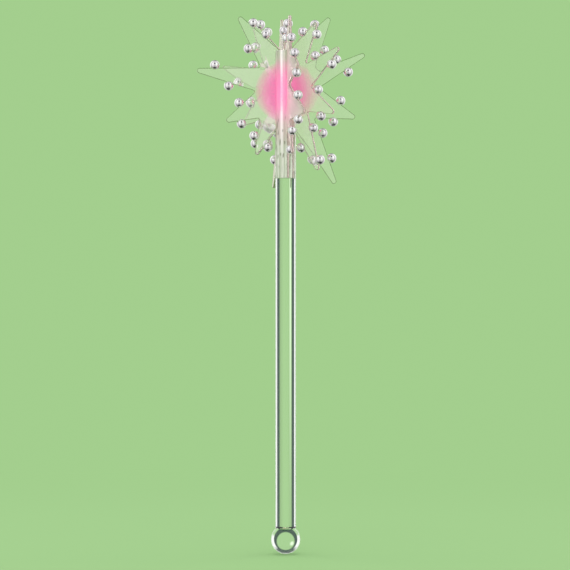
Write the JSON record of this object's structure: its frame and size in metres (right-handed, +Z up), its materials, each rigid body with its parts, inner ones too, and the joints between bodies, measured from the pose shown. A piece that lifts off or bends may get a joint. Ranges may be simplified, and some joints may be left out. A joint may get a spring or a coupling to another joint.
{
  "type": "star wand",
  "caption": "Clear rod wand with a clear ball at its foot and a head of crossed clear star plates, tinted pink at the middle, with silver beads along the edges of their points.",
  "frame": {"origin": "on the rod's axis, in the middle of the hand's grip, 55 mm above the rod's lower end", "axes": "+Z up the rod towards the stars, +X to the right of the front plate as it faces the viewer, +Y away from the viewer"},
  "size_m": [0.1042, 0.0929, 0.3328],
  "materials": {
    "clear_rod": "polished clear acrylic",
    "pink_sheet": "polished clear acrylic sheet, pink fade at the middle",
    "silver_bead": "mirror silver"
  },
  "bodies": {
    "root": {"rod": "clear_rod", "ball_end": "clear_rod", "star_plate_front": "pink_sheet", "star_plate_oblique": "pink_sheet", "star_plate_side": "pink_sheet", "bead_front_01": "silver_bead", "bead_front_02": "silver_bead", "bead_front_03": "silver_bead", "bead_front_04": "silver_bead", "bead_front_05": "silver_bead", "bead_front_06": "silver_bead", "bead_front_07": "silver_bead", "bead_front_08": "silver_bead", "bead_front_09": "silver_bead", "bead_front_10": "silver_bead", "bead_front_11": "silver_bead", "bead_front_12": "silver_bead", "bead_front_13": "silver_bead", "bead_front_14": "silver_bead", "bead_front_15": "silver_bead", "bead_front_16": "silver_bead", "bead_front_17": "silver_bead", "bead_front_18": "silver_bead", "bead_oblique_01": "silver_bead", "bead_oblique_02": "silver_bead", "bead_oblique_03": "silver_bead", "bead_oblique_04": "silver_bead", "bead_oblique_05": "silver_bead", "bead_oblique_06": "silver_bead", "bead_oblique_07": "silver_bead", "bead_oblique_08": "silver_bead", "bead_oblique_09": "silver_bead", "bead_oblique_10": "silver_bead", "bead_oblique_11": "silver_bead", "bead_oblique_12": "silver_bead", "bead_oblique_13": "silver_bead", "bead_oblique_14": "silver_bead", "bead_oblique_15": "silver_bead", "bead_oblique_16": "silver_bead", "bead_oblique_17": "silver_bead", "bead_oblique_18": "silver_bead", "bead_side_01": "silver_bead", "bead_side_02": "silver_bead", "bead_side_03": "silver_bead", "bead_side_04": "silver_bead", "bead_side_05": "silver_bead", "bead_side_06": "silver_bead", "bead_side_07": "silver_bead", "bead_side_08": "silver_bead", "bead_side_09": "silver_bead", "bead_side_10": "silver_bead", "bead_side_11": "silver_bead", "bead_side_12": "silver_bead", "bead_side_13": "silver_bead", "bead_side_14": "silver_bead", "bead_side_15": "silver_bead", "bead_side_16": "silver_bead", "bead_side_17": "silver_bead", "bead_side_18": "silver_bead"}
  },
  "joints": []
}
